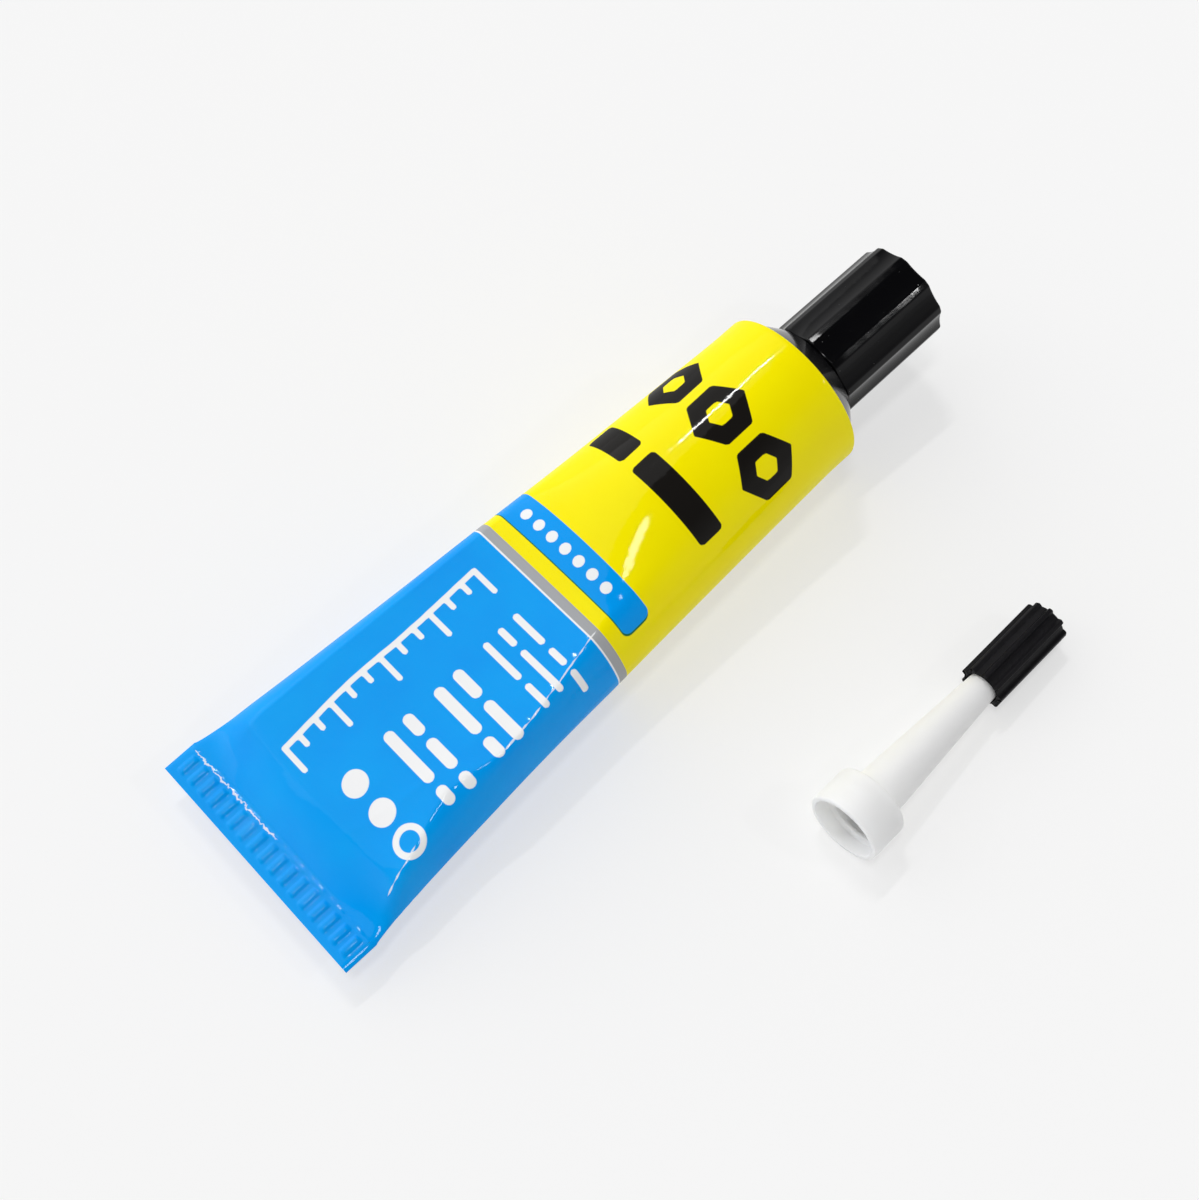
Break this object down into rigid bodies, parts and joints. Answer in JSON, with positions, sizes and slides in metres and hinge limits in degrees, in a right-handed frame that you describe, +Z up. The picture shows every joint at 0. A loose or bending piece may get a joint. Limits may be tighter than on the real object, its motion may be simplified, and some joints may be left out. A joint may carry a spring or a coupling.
{
  "type": "squeeze tube of plastic cement",
  "caption": "Laminate squeeze tube with a ribbed tail weld, black shoulder and faceted screw cap, and a loose tapered applicator nozzle with its own ribbed cap.",
  "frame": {"origin": "on the table, under the middle of the box round the tube and the loose nozzle", "axes": "+X from the tail weld towards the cap, +Y away from the loose nozzle, +Z up from the table"},
  "size_m": [0.1244, 0.0752, 0.0252],
  "materials": {
    "printed_laminate": "glossy printed laminate, a blue field and a yellow field parted by a silver stripe",
    "black_gloss": "polished black moulding",
    "black_satin": "satin black moulding",
    "natural_polyethylene": "translucent natural polyethylene, satin",
    "cement": "clear viscous cement",
    "seal_foil": "thin sealing foil",
    "liner_foam": "foamed polyethylene wad"
  },
  "bodies": {
    "tube": {"sleeve": "printed_laminate", "shoulder_neck": "black_gloss", "neck_membrane": "seal_foil", "cement_fill": "cement"},
    "cap_carrier": {"cap_liner": "liner_foam"},
    "cap": {"screw_cap": "black_gloss"},
    "nozzle_body": {"nozzle": "natural_polyethylene"},
    "nozzle_cover": {"nozzle_cap": "black_satin"}
  },
  "joints": [
    {"name": "cap_rise", "type": "slide", "parent": "tube", "child": "cap_carrier", "axis": [0.9974, 0, 0.0721], "range_m": [0, 0.01]},
    {"name": "cap_turn", "type": "hinge", "parent": "cap_carrier", "child": "cap", "pos_m": [0.0423, 0.01792, 0.01304], "axis": [0.9974, 0, 0.0721], "range_deg": [0, 1800]},
    {"name": "nozzle_lift", "type": "slide", "parent": "tube", "child": "nozzle_body", "axis": [0, 0, 1], "range_m": [0, 0.03]},
    {"name": "nozzle_cap_pull", "type": "slide", "parent": "nozzle_body", "child": "nozzle_cover", "axis": [0.9971, 0.0523, -0.056], "range_m": [0, 0.0125]}
  ],
  "couplings": [
    {"joint": "cap_rise", "follows": "cap_turn", "m_per_rad": 0.00031831}
  ]
}
